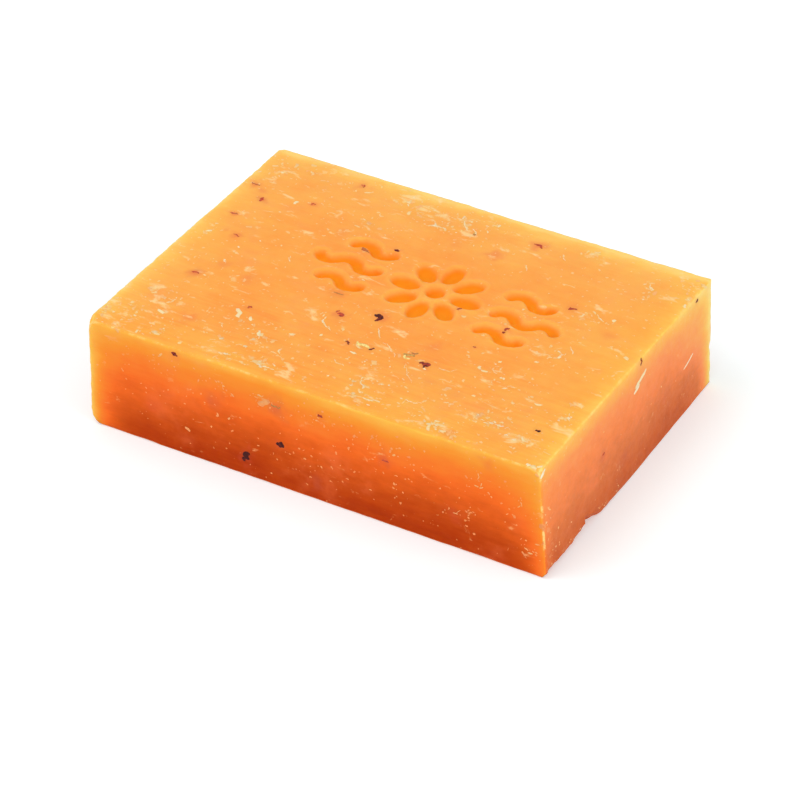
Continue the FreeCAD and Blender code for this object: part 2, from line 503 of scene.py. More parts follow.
def dustOn(flat, isTop):
    # Where crumbs gather, the skin is dusty too: a sum of bell curves round the places where they gather
    x, y, z = flat.T
    total = np.zeros(len(flat))
    amounts = {"top": isTop, "front": (y < 0.01) * 0.5, "right": (x > length - 0.01) * 1.0}
    for face, amount in amounts.items():
        first, second = flat[:, faceAxes[face]].T
        for a, b, spreadA, spreadB, count in crumbs[face]:
            reach = ((first - a) / (1.3 * spreadA)) ** 2 + ((second - b) / (1.3 * spreadB)) ** 2
            total += np.minimum(count / (spreadA * spreadB) * 0.14, 0.7) * np.exp(-0.5 * reach) * amount
    return 1 - np.exp(-total)


def makeBar():
    p, quads, fan, topIndex, sideIndex, (xLines, yLines, zLines) = barGrid()
    flat = p.copy()
    x, y, z = flat.T
    edge = np.sort(np.stack([x, length - x, y, width - y, height - z]), axis=0)[1]
    isTop = np.zeros(len(p))
    isTop[topIndex.ravel()] = 1
    p = leanEnds(roundEdges(p))
    p = wearAndChip(p)
    shape = pointNormals(p, quads, fan)
    topness = smooth(shape[:, 2], 0.35, 0.92)
    endness = smooth(shape[:, 0], 0.3, 0.9)
    p, sunk, nearPocket = pressDesign(p, isTop * smooth(edge, 1.5, 3.0))
    # The skin lies inside the cut size. It is a little wavy all over, and dragged in lines along the top
    drag = uneven(flat * (0.06, 1, 0.06), "drag") * isTop * (1 - 0.8 * smooth(y, 14, 26))
    saw = uneven(flat * (0.05, 0.05, 1), "saw") * (1 - isTop)
    rough = uneven(flat, "edge") * (1 - smooth(edge, 0.3, 1.4))
    lift = -bar["skin"] + np.clip(uneven(flat, "wavy") + drag + saw + rough, -0.12, 0.10)
    outward = shape.copy()
    outward[:, 2] = np.maximum(outward[:, 2], 0)
    p = p + outward * lift[:, None]
    p[:, 2] = np.maximum(p[:, 2], 0)
    under = smooth(-shape[:, 2], 0.9, 0.99)
    hollow = np.maximum(uneven(flat, "underside"), 0) * (1 - smooth(np.abs(x - length / 2), 30, 40))
    p[:, 2] += under * hollow
    p = np.clip(p, cadBox[0], cadBox[1] - bar["clear"])
    spots = spotStrength(flat, "top", isTop * topness)
    spots += spotStrength(flat, "front", smooth(-shape[:, 1], 0.5, 0.9))
    spots += spotStrength(flat, "right", endness)
    isRight = (x > length - 0.01) * (1 - isTop)
    # The pale rubbed line along the edges, partly a painted highlight, is stronger on the front right
    # upright
    frontRight = 3.5 * (np.hypot(length - x, y) < 0.9) * smooth(z, 2, 9)
    attributes = {
        "light": paintedLightAndShade(flat, isTop, isRight, under, sunk, nearPocket) / 255,
        "topness": topness,
        "endness": endness * (1 - 0.4 * np.exp(-y / 2.5)),
        "rubAndHighlight": (1 - smooth(edge, 0.1, 0.55)) * (1 + frontRight),
        "sunk": sunk,
        "dust": dustOn(flat, isTop),
        "drag": isTop * (1 - 0.7 * smooth(y, 14, 26)),
        # A milky bloom on the top, with a painted sheen of reflected light in it
        "milkAndSheen": topness * (0.4 + 0.6 * smooth(np.minimum(length - x, y), 0, 10) + 0.3 * smooth(y, 40, 62)),
        "brownSpot": np.clip(spots[0], 0, 1),
        "redSpot": np.clip(spots[1], 0, 1),
    }
    piece = addPiece("soapBar", p, [quads, fan], attributes)
    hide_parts("soap_bar")
    nx, ny = bar["cellsAlong"], bar["cellsAcross"]
    faces = {
        "top": (topIndex, xLines, yLines),
        "front": (sideIndex[:, :nx + 1].T, xLines, zLines),
        "right": (sideIndex[:, nx:nx + ny + 1].T, yLines, zLines),
    }
    print("bar:", len(p), "points", 2 * len(quads) + len(fan), "triangles")
    return piece, (p, pointNormals(p, quads, fan), faces)


def onSurface(surface, face, first, second):
    # The mesh point nearest to two face coordinates, and the normal there
    points, normals, faces = surface
    index, firstLines, secondLines = faces[face]
    i = np.abs(firstLines[None] - first[:, None]).argmin(1)
    j = np.abs(secondLines[None] - second[:, None]).argmin(1)
    at = index[i, j]
    return points[at], normals[at]


def grains(surface, face, at, turn, size, bend, seat, seed, tone):
    # Closed bean shapes. Along a bean, from pole to pole, the ring radius is sin(s)^0.7 and the centre
    # line is a parabola. at is two face coordinates, size is length, width and height, and seat is
    # how deep it sinks in and how lumpy it is
    random = np.random.default_rng(seed)
    rings, around = 7, 6
    sink, lumpy = seat
    place, normal = onSurface(surface, face, *at)
    ahead = (0, 1, 0) if face == "right" else (1, 0, 0)
    along = ahead - normal * (normal @ ahead)[:, None]
    along /= np.linalg.norm(along, axis=1)[:, None]
    across = np.cross(normal, along)
    cosine, sine = np.cos(turn)[:, None], np.sin(turn)[:, None]
    along, across = along * cosine + across * sine, across * cosine - along * sine
    s = np.linspace(0, math.pi, rings)[None, :, None]
    v = np.linspace(0, 2 * math.pi, around, endpoint=False)[None, None, :]
    count = len(turn)
    lumps = 1 + lumpy * random.uniform(-1, 1, (count, rings, around))
    wave = 1.4 * lumpy * random.uniform(-1, 1, (count, rings, 1))
    long, wide, tall = (np.asarray(part)[:, None, None] / 2 for part in size)
    a = -np.cos(s) * long * np.ones_like(lumps)
    radius = np.sin(s) ** 0.7 * lumps
    curve = bend[:, None, None] * (np.cos(s) ** 2 - 0.4) * long
    b = radius * np.cos(v) * wide + curve + wave * wide * np.sin(s)
    c = radius * np.sin(v) * tall
    centre = place - normal * (sink * size[2])[:, None]
    p = (
        centre[:, None, None] + along[:, None, None] * a[..., None]
        + across[:, None, None] * b[..., None] + normal[:, None, None] * c[..., None]
    )
    start = p[:, 0].mean(1, keepdims=True)
    end = p[:, -1].mean(1, keepdims=True)
    points = np.concatenate([start, p[:, 1:-1].reshape(count, -1, 3), end], 1)
    per = points.shape[1]
    ring = 1 + np.arange((rings - 2) * around).reshape(rings - 2, around)
    after = np.roll(ring, -1, axis=1)
    quads = np.stack([ring[:-1], after[:-1], after[1:], ring[1:]], -1).reshape(-1, 4)
    caps = np.concatenate([
        np.stack([np.zeros(around, int), after[0], ring[0]], 1),
        np.stack([np.full(around, per - 1), ring[-1], after[-1]], 1),
    ])
    step = (np.arange(count) * per)[:, None, None]
    quads, caps = (quads[None] + step).reshape(-1, 4), (caps[None] + step).reshape(-1, 3)
    return points.reshape(-1, 3), quads, caps, np.repeat(tone, per)


def joined(name, parts):
    # Several bean sets as one piece
    starts = np.cumsum([0, *(len(part[0]) for part in parts)])
    points, tones = (np.concatenate([part[at] for part in parts]) for at in (0, 3))
    faces = [np.concatenate([part[at] + start for part, start in zip(parts, starts)]) for at in (1, 2)]
    points = np.clip(points, cadBox[0] + bar["clear"], cadBox[1] - bar["clear"])
    print(name + ":", 2 * len(faces[0]) + len(faces[1]), "triangles")
    return addPiece(name, points, faces, {"tone": tones})


# Rolled crumbs of soap: where they gather (middle, spread, count), and how large they are
crumbs = {
    "top": [
        (39.8, 58, 4.5, 2.2, 34), (30.3, 61, 2, 1.5, 8), (27.8, 52, 1.5, 2.5, 9), (67.2, 61.5, 1.5, 0.8, 6),
        (80.8, 56, 1.2, 2.5, 9), (85.8, 59.5, 1.5, 2, 8), (76.3, 44, 2, 1.5, 8), (74.8, 30.8, 1.5, 1.5, 7),
        (69.8, 20.5, 3, 2, 12), (85.4, 15.5, 0.8, 2, 6), (28.4, 9.3, 1.2, 1.2, 8),
        (34.3, 6.5, 3.5, 1.8, 11), (50.3, 6.1, 1.8, 1.6, 10), (26.5, 3.2, 2, 0.8, 7),
        (33.4, 3.3, 2.5, 0.9, 8), (54, 3.6, 2.5, 0.9, 11), (67.2, 3, 2.5, 0.8, 14), (82.2, 6.2, 1.8, 1, 10),
        (74.3, 7.7, 3, 0.8, 12), (71.3, 1.6, 2, 0.5, 7), (15.8, 22, 2, 1.5, 5), (9, 12.4, 1.5, 1.8, 8),
        (22.2, 8, 1.2, 1.2, 6), (3.6, 34.9, 0.7, 1.2, 6), (1.4, 3, 0.8, 2.5, 16), (10, 4.5, 3.5, 2, 14),
        (9, 60, 4, 2, 14), (43, 61, 3, 1, 12), (25.5, 13, 3, 2, 9), (12, 31, 5, 6, 12), (16, 56, 5, 4, 10),
        (5, 22, 3, 6, 10), (44.8, 30, 26, 18, 64), (44.8, 8, 26, 5, 66), (60.8, 12, 14, 5, 45),
        (4.8, 8, 2, 5, 16), (3.8, 58, 1.6, 3, 10), (88, 57, 0.4, 4, 8),
    ],
    "front": [
        (26.8, 17.2, 1.5, 0.8, 7), (34.8, 17.5, 2, 0.8, 9), (44.8, 17, 3, 1, 12), (57.8, 16.5, 3, 1.2, 12),
        (76.8, 15, 2, 2.2, 13), (72.8, 7.5, 2.5, 1.2, 11), (84.8, 11, 1.8, 3.5, 12),
        (85.3, 4.5, 1.2, 0.8, 7), (42.8, 8, 6, 1.5, 12), (14.8, 17.5, 4.5, 1.5, 12), (30.8, 12, 14, 4, 22),
        (62.8, 10, 12, 4, 18), (44.8, 13, 25, 5, 60), (88.2, 14, 0.3, 5, 7),
    ],
    "right": [
        (2, 12, 0.9, 5.5, 18), (3.5, 4.5, 1.2, 1.2, 7), (27, 3, 1, 1.5, 4), (10, 20.8, 5, 0.6, 9),
        (57, 20.6, 3.5, 0.6, 16), (35, 10, 14, 5, 10), (7.5, 1.9, 4, 0.3, 12), (22, 1.4, 3, 0.3, 6),
    ],
    "length": 0.75,
    "width": 0.53,
    "height": 0.09,
    "tallest": 0.2,
    "loose": (0.36, 0.24),  # how deep a crumb sinks in, as a share of its height, and how lumpy it is
    "rolled": (0.25, 0.22),  # the same for a bead of a thread
    "grow": {"top": 1, "front": 0.72, "right": 0.6},
    "tone": {"top": 0.5, "front": 0.04, "right": 0.45},
    "toneSpread": {"top": 0.3, "front": 0.14, "right": 0.2},
    # On the right end the pale threads include two scratches whose paleness is a painted glint
    "threadTone": {"top": 0.68, "front": 0.3, "right": 0.92},
    "threadJitter": {"top": 0.07, "front": 0.07, "right": 0.02},
    "threadStep": {"top": 0.6, "front": 0.6, "right": 4},
    "threadWidth": {"top": 1.45, "front": 1.1, "right": 1},
    "seed": 5,
}

# Long curls and threads on a face: place, length, turn in degrees, bend, width
threads = [
    ("top", [
        (36.6, 19.7, 5, -48, 0.25, 0.30), (46.3, 21.5, 4.2, -62, 0.2, 0.16),
        (50.3, 18.2, 4.5, -35, -0.2, 0.16), (56.3, 13.5, 6, -52, 0.1, 0.12),
        (76.1, 30.6, 3.2, 55, 0.5, 0.22), (77.4, 33.4, 2.2, 120, 0.4, 0.2),
        (73.1, 18.2, 2.6, 35, -0.4, 0.22), (68.6, 21.6, 2.4, -70, 0.5, 0.2), (76.3, 7.9, 5.5, 3, 0.08, 0.2),
        (61.8, 17.6, 3.2, 18, 0.3, 0.18), (85.8, 15.8, 1.8, -60, 0.2, 0.24), (51, 7.4, 2.6, -55, 0.3, 0.26),
        (34.3, 8.2, 2.4, -65, 0.5, 0.2), (66.8, 9.6, 2.2, 40, 0.3, 0.18), (42.8, 58.8, 3.2, -52, 0.15, 0.3),
        (45.4, 57.6, 2.8, -60, -0.2, 0.3), (38.8, 56.2, 2.6, -10, 0.3, 0.4),
        (37.6, 55.8, 1.4, 20, 0.3, 0.5), (30.2, 60.4, 2, -75, 0.2, 0.4), (80.4, 57.6, 1.5, -60, 0.2, 0.5),
        (77.2, 44.4, 2.4, -30, 0.3, 0.22), (58.8, 52, 1.8, -58, 0.2, 0.22), (63, 58.2, 1.6, -55, 0.1, 0.22),
        (20.8, 34, 1.8, -60, 0.2, 0.18), (54.8, 3.6, 3.4, 8, 0.2, 0.34), (34, 3.2, 3.6, -4, 0.2, 0.4),
        (67.6, 2.9, 3, 12, -0.2, 0.36), (26.4, 3.1, 2.2, 10, 0.2, 0.42), (82.4, 6.3, 1.8, -30, 0.4, 0.3),
        (9.8, 12, 1.8, 60, 0.3, 0.24), (28.5, 9.5, 2.2, 62, 0.4, 0.24), (61.3, 6.8, 2.6, 6, 0.15, 0.16),
        (44.8, 10.5, 2.4, -12, 0.2, 0.15),
    ]),
    ("front", [
        (34.8, 17.6, 1.8, 12, 0.2, 0.3), (77, 14.6, 1.8, 40, 0.5, 0.28), (85.4, 4.6, 1.3, -5, 0.1, 0.4),
        (76.8, 16.6, 1.2, 80, 0.4, 0.24), (72.6, 7.6, 1.6, 25, 0.4, 0.24), (84.4, 13.5, 1.4, 70, 0.3, 0.22),
    ]),
    # The first three here are two scratches, drawn as pale threads, their paleness a painted glint
    ("right", [
        (36.8, 17.8, 4.9, 19, 0, 0.76), (35.2, 17, 2.5, 28, 0, 0.95), (55.6, 10.2, 4.2, 10, 0, 0.3),
        (0.9, 20.9, 2, 30, 0, 0.36),
    ]),
    ("top", [
        (87.7, 0.9, 1.6, 35, 0.3, 0.5), (86.6, 0.8, 1.4, 5, 0.1, 0.4),
    ]),
]

# Bits of dried petal and herb at the surface: place, length, width, turn in degrees, and tone (0 near black,
# 0.3 dark brown, 0.5 red brown, 0.75 olive, 1 pale straw)
plantBits = {
    "top": [
        (43.8, 25.9, 2.3, 1.3, -25, 0.02), (44.2, 25.3, 1.3, 0.9, 60, 0.12),
        (37.5, 23.2, 1.9, 0.8, -15, 0.38), (45.7, 16.7, 3.1, 0.9, 8, 1), (43, 16.3, 1.1, 0.5, -30, 0.25),
        (47.4, 16.6, 0.9, 0.6, 40, 0.1), (54, 18.7, 2.6, 0.8, 14, 0.72), (53.7, 17.6, 1.5, 0.7, -40, 1),
        (57.6, 17.4, 2, 1.3, 15, 0.26), (58, 17, 1, 0.7, 70, 0.1), (83.2, 9.8, 0.9, 0.7, 30, 0),
        (57.2, 59.4, 1.8, 0.7, -12, 0.42), (22.7, 17.2, 0.8, 0.6, 20, 0.42),
        (8.8, 21.9, 1.4, 0.45, 20, 0.4), (6.5, 48, 1.3, 0.8, -70, 0.4), (15.3, 51.3, 0.7, 0.5, 35, 0.5),
        (2.7, 51.9, 1.8, 0.4, -10, 0.52), (4.6, 41.6, 1.3, 0.4, 10, 0.5), (62.5, 25.8, 0.5, 0.4, 0, 0.3),
        (45.4, 57, 0.8, 0.7, 0, 0.7), (72, 36, 1.2, 0.7, 50, 0.15), (71.7, 44.6, 1.6, 0.7, 35, 0.35),
        (36, 45.6, 0.9, 0.8, 10, 0.1), (31, 42.9, 2, 0.8, -30, 0.6), (54.6, 34.8, 1, 0.5, 60, 0.35),
        (64.7, 33.2, 1.6, 0.6, 70, 0.3), (20.1, 61.2, 1.1, 0.4, -60, 0.52), (34, 28.6, 1.8, 0.4, -8, 0.6),
        (8.7, 35.6, 1.1, 0.3, -20, 0.5),
    ],
    "front": [
        (31.6, 4.1, 2.2, 1.6, 80, 0), (38.4, 8.9, 1.4, 1.5, 20, 0.06), (18.1, 20.6, 1.3, 0.7, 10, 0.2),
        (46.8, 18, 1.2, 0.5, -5, 0.3), (38, 16.7, 1.8, 0.35, 5, 0.6), (59.2, 13.5, 1.1, 0.5, 10, 0.4),
    ],
    "right": [
        (37, 21.2, 1.2, 0.5, 60, 0.2), (59, 20.8, 1, 0.8, 20, 0.15), (22.2, 11.3, 0.8, 0.4, 30, 0.45),
    ],
}

# Three overlapping flakes give a plant bit its ragged outline: shares of its length and width, height in
# millimetres, random turn in radians, and how deep they sink in and how lumpy they are
flakes = {
    "along": np.array([0, 0.28, -0.3]),
    "length": np.array([0.8, 0.5, 0.5]),
    "width": np.array([0.9, 0.7, 0.6]),
    "height": np.array([0.16, 0.14, 0.14]),
    "turn": (0.1, 0.6, 0.6),
    "seat": (0.12, 0.14),
}


def byFace(groups):
    return [(face, *row) for face, rows in groups for row in rows]


def makeCrumbs(surface):
    random = np.random.default_rng(crumbs["seed"])
    parts = []
    for face, axes in faceAxes.items():
        first, second = [], []
        for x, y, spreadX, spreadY, count in crumbs[face]:
            first.append(x + spreadX * random.normal(0, 1, count))
            second.append(y + spreadY * random.normal(0, 1, count))
        first, second = np.concatenate(first), np.concatenate(second)
        farFirst, farSecond = ((length, width, height)[axis] for axis in axes)
        keep = (first > 0.2) & (first < farFirst - 0.2) & (second > 0.3) & (second < farSecond - 0.2)
        if face == "top":
            keep &= pocketDistance(first, second) > 0.4
        first, second = first[keep], second[keep]
        count = len(first)
        grow = np.exp(random.normal(0, 0.42, count)) * crumbs["grow"][face]
        size = (
            crumbs["length"] * grow * np.exp(random.normal(0, 0.35, count)),
            crumbs["width"] * grow,
            np.minimum(crumbs["height"] * grow, crumbs["tallest"]),
        )
        turn = random.normal(-0.45 if face == "top" else 0.2, 0.7, count)
        bend = random.normal(0, 0.25, count)
        tone = crumbs["tone"][face] + crumbs["toneSpread"][face] * random.uniform(-1, 1, count)
        parts.append(grains(surface, face, (first, second), turn, size, bend, crumbs["loose"], 50, tone))
    for number, (face, x, y, long, degrees, curve, wide) in enumerate(byFace(threads)):
        pieces = max(1, int(long / crumbs["threadStep"][face]))
        t = (np.arange(pieces) + 0.5) / pieces - 0.5
        jitter = random.normal(0, crumbs["threadJitter"][face], (2, pieces))
        angle = math.radians(degrees)
        at = turnedFrom(x, y, angle, t * long, curve * long * (t ** 2 * 2 - 0.2)) + jitter
        shrink = (1 - 0.6 * np.abs(2 * t) ** 2) * np.exp(random.normal(0, 0.3, pieces))
        overlap = 1.45 if pieces > 1 else 1
        wide = wide * crumbs["threadWidth"][face] * shrink
        size = (np.full(pieces, overlap * long / pieces), wide, np.minimum(0.6 * wide, crumbs["tallest"]))
        turn = angle + np.arctan(4 * curve * t) + random.normal(0, 4 * crumbs["threadJitter"][face], pieces)
        tone = crumbs["threadTone"][face] + random.uniform(-0.15, 0.15, pieces)
        bend = np.zeros(pieces)
        parts.append(grains(surface, face, at, turn, size, bend, crumbs["rolled"], 60 + number, tone))
    return joined("soapCrumbs", parts)


def makePlantBits(surface):
    parts = []
    for number, (face, x, y, long, wide, degrees, tone) in enumerate(byFace(plantBits.items())):
        random = np.random.default_rng(300 + number)
        angle = math.radians(degrees)
        at = turnedFrom(x, y, angle, flakes["along"] * long, 0) + random.normal(0, 0.12 * wide, (2, 3))
        size = (long * flakes["length"], wide * flakes["width"], flakes["height"])
        turn = angle + random.normal(0, flakes["turn"])
        tones = tone + random.uniform(-0.06, 0.06, 3)
        bend = random.normal(0, 0.2, 3)
        parts.append(grains(surface, face, at, turn, size, bend, flakes["seat"], 90 + number, tones))
    return joined("plantBits", parts)


def colour(red, green, blue):
    # Screen colour from 0 to 255 to linear light
    values = np.array([red, green, blue]) / 255
    return (*np.where(values <= 0.04045, values / 12.92, ((values + 0.055) / 1.055) ** 2.4), 1)


class Nodes:
    # Short calls to add and join shader nodes
    def __init__(self, tree):
        self.tree = tree
        tree.nodes.clear()

    def feed(self, socket, value):
        if isinstance(value, bpy.types.NodeSocket):
            self.tree.links.new(value, socket)
        else:
            socket.default_value = value

    def fill(self, node, **inputs):
        # A name's _ stands for a space
        for name, value in inputs.items():
            self.feed(node.inputs[name.replace("_", " ")], value)

    def add(self, kind, settings=None, **inputs):
        node = self.tree.nodes.new(kind)
        for name, value in (settings or {}).items():
            setattr(node, name, value)
        self.fill(node, **inputs)
        return node

    def group(self, tree, **inputs):
        return self.add("ShaderNodeGroup", {"node_tree": tree}, **inputs).outputs

    def math(self, operation, *values):
        node = self.add("ShaderNodeMath", {"operation": operation})
        for socket, value in zip(node.inputs, values):
            self.feed(socket, value)
        return node.outputs[0]

    def plus(self, first, second):
        return self.math("ADD", first, second)

    def times(self, first, second):
        return self.math("MULTIPLY", first, second)

    def most(self, first, second):
        return self.math("MAXIMUM", first, second)

    def vary(self, value, field, amount):
        # value + (field - 0.5) * amount
        return self.plus(value, self.times(self.math("SUBTRACT", field, 0.5), amount))

    def attribute(self, name):
        return self.add("ShaderNodeAttribute", {"attribute_name": name}).outputs["Fac"]

    def mix(self, share, first, second):
        node = self.add("ShaderNodeMix", {"data_type": "RGBA"})
        self.feed(node.inputs["Factor"], share)
        self.feed(node.inputs[6], first)
        self.feed(node.inputs[7], second)
        return node.outputs[2]

    def span(self, value, low, high, toLow=0.0, toHigh=1.0):
        node = self.add("ShaderNodeMapRange", {"interpolation_type": "SMOOTHSTEP"})
        self.fill(node, Value=value, From_Min=low, From_Max=high, To_Min=toLow, To_Max=toHigh)
        return node.outputs["Result"]

    def ramp(self, value, stops):
        node = self.add("ShaderNodeValToRGB")
        elements = node.color_ramp.elements
        while len(elements) < len(stops):
            elements.new(0.5)
        for element, (position, shade) in zip(elements, stops):
            element.position = position
            element.color = colour(*shade)
        self.fill(node, Fac=value)
        return node.outputs["Color"]

    def noise(self, vector, scale, detail=2.0, roughness=0.5, distortion=0.0):
        node = self.add("ShaderNodeTexNoise", Vector=vector, Scale=scale)
        self.fill(node, Detail=detail, Roughness=roughness, Distortion=distortion)
        return node.outputs["Fac"]

    def stretched(self, scale, turn=(0, 0, 0)):
        # Object coordinates turned and scaled by a Mapping node
        here = self.add("ShaderNodeTexCoord").outputs["Object"]
        return self.add("ShaderNodeMapping", Vector=here, Scale=scale, Rotation=turn).outputs["Vector"]

    def bump(self, height):
        return self.add("ShaderNodeBump", Strength=1.0, Distance=1.0, Height=height).outputs["Normal"]


def newGroup(name, inputs, outputs):
    tree = bpy.data.node_groups.new(name, "ShaderNodeTree")
    nodes = Nodes(tree)
    for label, value in inputs.items():
        socket = tree.interface.new_socket(label, in_out="INPUT", socket_type="NodeSocketFloat")
        socket.default_value = value
    for label in outputs:
        tree.interface.new_socket(label, in_out="OUTPUT", socket_type="NodeSocketFloat")
    return nodes, nodes.add("NodeGroupInput").outputs, nodes.add("NodeGroupOutput")


def waxGrain():
    # Fine waxy unevenness: a mask for colour and roughness, and a height in metres for bump
    nodes, given, out = newGroup("waxGrain", {"Scale": 900.0, "Height": 0.00002}, ("Mask", "Height"))
    here = nodes.stretched((1, 1, 1))
    coarse = nodes.noise(here, given["Scale"], 3.0, 0.6)
    fine = nodes.noise(here, nodes.times(given["Scale"], 3.7))
    mask = nodes.plus(nodes.times(coarse, 0.7), nodes.times(fine, 0.3))
    nodes.fill(out, Mask=mask, Height=nodes.times(mask, given["Height"]))
    return nodes.tree


# Pale masks, where noise is above a limit that Density lowers. limit is that limit at no density, how much
# density changes it, and how softly the mask begins. Each noise has the scale of its coordinates, their turn
# in radians, and then its own settings
paleMasks = {
    "paleSpecks": {  # small specks and short strokes
        "limit": (0.755, -0.13, 0.05),
        "noises": [((0.40, 1.1, 1), 0.55, 950.0, 2.0, 0.6, 0.6), ((1, 1, 1), 0, 1300.0, 1.0)],
    },
    "softSmudges": {  # blurred patches where dust was rubbed in
        "limit": (0.66, -0.17, 0.13),
        "noises": [((0.6, 1.1, 1.1), 0.4, 400.0, 4.0, 0.62, 0.4)],
    },
}


def paleMask(name):
    nodes, given, out = newGroup(name, {"Density": 0.5}, ("Mask",))
    start, slope, soft = paleMasks[name]["limit"]
    limit = nodes.plus(nodes.times(given["Density"], slope), start)
    mask = 0.0
    for scale, turn, *settings in paleMasks[name]["noises"]:
        found = nodes.noise(nodes.stretched(scale, (0, 0, turn)), *settings)
        mask = nodes.most(mask, nodes.span(found, limit, nodes.plus(limit, soft)))
    nodes.fill(out, Mask=mask)
    return nodes.tree


def newMaterial(name):
    material = bpy.data.materials.new(name)
    material.use_nodes = True
    nodes = Nodes(material.node_tree)
    surface = nodes.add("ShaderNodeBsdfPrincipled")
    nodes.add("ShaderNodeOutputMaterial", Surface=surface.outputs["BSDF"])
    return material, nodes, surface


# Colours of the soap in plain light. The first two lists are the soap on the long faces and on the right
# end, by the green of each colour, from where it is thick and dark to a thin edge. The darkest colours also
# carry painted shade at the foot, and the end's list is paler and bluer partly as a painted sheen of
# reflected light
soapLook = {
    "body": [
        (167, 48, 0), (185, 60, 2), (204, 76, 4), (232, 94, 9), (250, 108, 18), (253, 120, 26),
        (253, 134, 30), (253, 148, 34), (253, 163, 52), (254, 182, 66), (255, 196, 80), (255, 210, 106),
    ],
    "endBody": [
        (194, 84, 30), (208, 96, 36), (223, 113, 48), (241, 125, 56), (251, 134, 63), (254, 143, 70),
        (254, 156, 73), (255, 170, 72), (255, 185, 78), (255, 198, 88), (255, 214, 120),
    ],
    "rosy": (252, 128, 78),
    "pressed": (254, 147, 2),
    "cream": (255, 218, 156),
    "creamSide": (255, 176, 108),
    "burrAndHighlight": (255, 222, 140),
    # a pale haze with a painted sheen of reflected light in it
    "hazeAndSheen": (255, 205, 158),
    "brown": (186, 82, 58),
    "red": (236, 92, 66),
    "subsurface": {
        "Subsurface_Weight": 0.3, "Subsurface_Radius": (1.0, 0.42, 0.16), "Subsurface_Scale": 0.0022,
    },
}


def soapMaterial(grain, specks, smudges):
    material, nodes, surface = newMaterial("soap")
    attribute, mix, span, most, times = nodes.attribute, nodes.mix, nodes.span, nodes.most, nodes.times
    topness, endness, sunk, drag = map(attribute, ("topness", "endness", "sunk", "drag"))
    here = nodes.stretched((1, 1, 1))
    cloud = nodes.noise(here, 110.0, 4.0, 0.6)
    wisps = nodes.noise(nodes.stretched((0.45, 1, 1.5), (0, 0, 0.35)), 420.0, 4.0, 0.62)
    lines = nodes.noise(nodes.stretched((0.03, 1, 1)), 1500.0, 3.0, 0.65)
    light = nodes.vary(attribute("light"), cloud, 0.09)
    light = nodes.vary(light, wisps, 0.10)
    light = nodes.vary(light, lines, nodes.plus(times(drag, 0.09), 0.03))
    body, endBody = (
        nodes.ramp(light, [(stop[1] / 255, stop) for stop in soapLook[name]]) for name in ("body", "endBody")
    )
    tints = (
        ("rosy", span(cloud, 0.52, 0.8, 0, 0.3)),
        # The haze is a milky bloom with a painted sheen of reflected light in it
        ("hazeAndSheen", times(attribute("milkAndSheen"), 0.09)),
        ("pressed", span(sunk, 0.2, 0.85, 0, 0.8)),
        ("brown", times(attribute("brownSpot"), 0.85)),
        ("red", times(attribute("redSpot"), 0.85)),
    )
    shade = mix(endness, body, endBody)
    for name, share in tints:
        shade = mix(share, shade, colour(*soapLook[name]))
    # Dust and specks thin out on the clean cut end and inside the design
    bare = times(span(sunk, 0.0, 0.4, 1.0, 0.1), span(endness, 0.0, 1.0, 1.0, 0.35))
    density = nodes.plus(times(attribute("dust"), 1.05), nodes.plus(times(topness, 0.2), 0.12))
    pale, smudge = (times(nodes.group(tree, Density=density)["Mask"], bare) for tree in (specks, smudges))
    cream = mix(most(topness, endness), colour(*soapLook["creamSide"]), colour(*soapLook["cream"]))
    shade = mix(times(smudge, 0.68), shade, cream)
    shade = mix(times(pale, 0.6), shade, cream)
    # A broken pale line where each edge is rubbed, partly a painted highlight along the edge
    rubbed = nodes.plus(nodes.noise(here, 90.0, 2.0), nodes.noise(here, 700.0, 4.0, 0.75))
    burrAndHighlight = nodes.math("MINIMUM", times(attribute("rubAndHighlight"), span(rubbed, 0.92, 1.22, 0, 0.6)), 0.75)
    shade = mix(burrAndHighlight, shade, colour(*soapLook["burrAndHighlight"]))
    fine = nodes.group(grain, Scale=1100.0, Height=0.00003)
    rough = nodes.plus(span(fine["Mask"], 0.3, 0.7, 0.42, 0.58), times(most(pale, smudge), 0.15))
    rough = nodes.math("SUBTRACT", rough, times(endness, 0.08))
    relief = nodes.plus(times(pale, 0.00005), fine["Height"])
    relief = nodes.plus(relief, times(smudge, 0.00003))
    relief = nodes.plus(relief, times(times(lines, drag), 0.00007))
    # Less shine inside the pockets and where the light value is low, as in the painted shade at the foot
    dull = times(span(sunk, 0.1, 0.8, 1.0, 0.2), span(light, 0.2, 0.5, 0.3, 1.0))
    nodes.fill(surface, Base_Color=shade, Roughness=rough, Normal=nodes.bump(relief))
    nodes.fill(surface, Specular_IOR_Level=times(dull, 0.2), **soapLook["subsurface"])
    return material


# Looks of the small bits. Their colours go by tone, which the grain shifts between two values
crumbLook = {
    "colours": [
        (0.0, (255, 150, 84)), (0.25, (255, 184, 112)), (0.5, (255, 204, 134)),
        (0.75, (255, 220, 164)), (1.0, (255, 236, 206)),
    ],
    "grain": {"Scale": 2600.0, "Height": 0.00002},
    "toneShift": (-0.12, 0.12),
    "roughness": (0.45, 0.65),
    "surface": {
        "Subsurface_Weight": 0.3, "Subsurface_Radius": (1.0, 0.6, 0.3), "Subsurface_Scale": 0.0006,
        "Specular_IOR_Level": 0.27,
    },
}
plantLook = {
    "colours": [
        (0.0, (70, 28, 26)), (0.2, (124, 46, 38)), (0.45, (204, 80, 56)),
        (0.7, (184, 132, 70)), (0.9, (232, 192, 104)), (1.0, (252, 226, 144)),
    ],
    "grain": {"Scale": 2200.0, "Height": 0.00004},
    "toneShift": (-0.12, 0.14),
    "roughness": (0.55, 0.8),
    "surface": {"Specular_IOR_Level": 0.12},
}


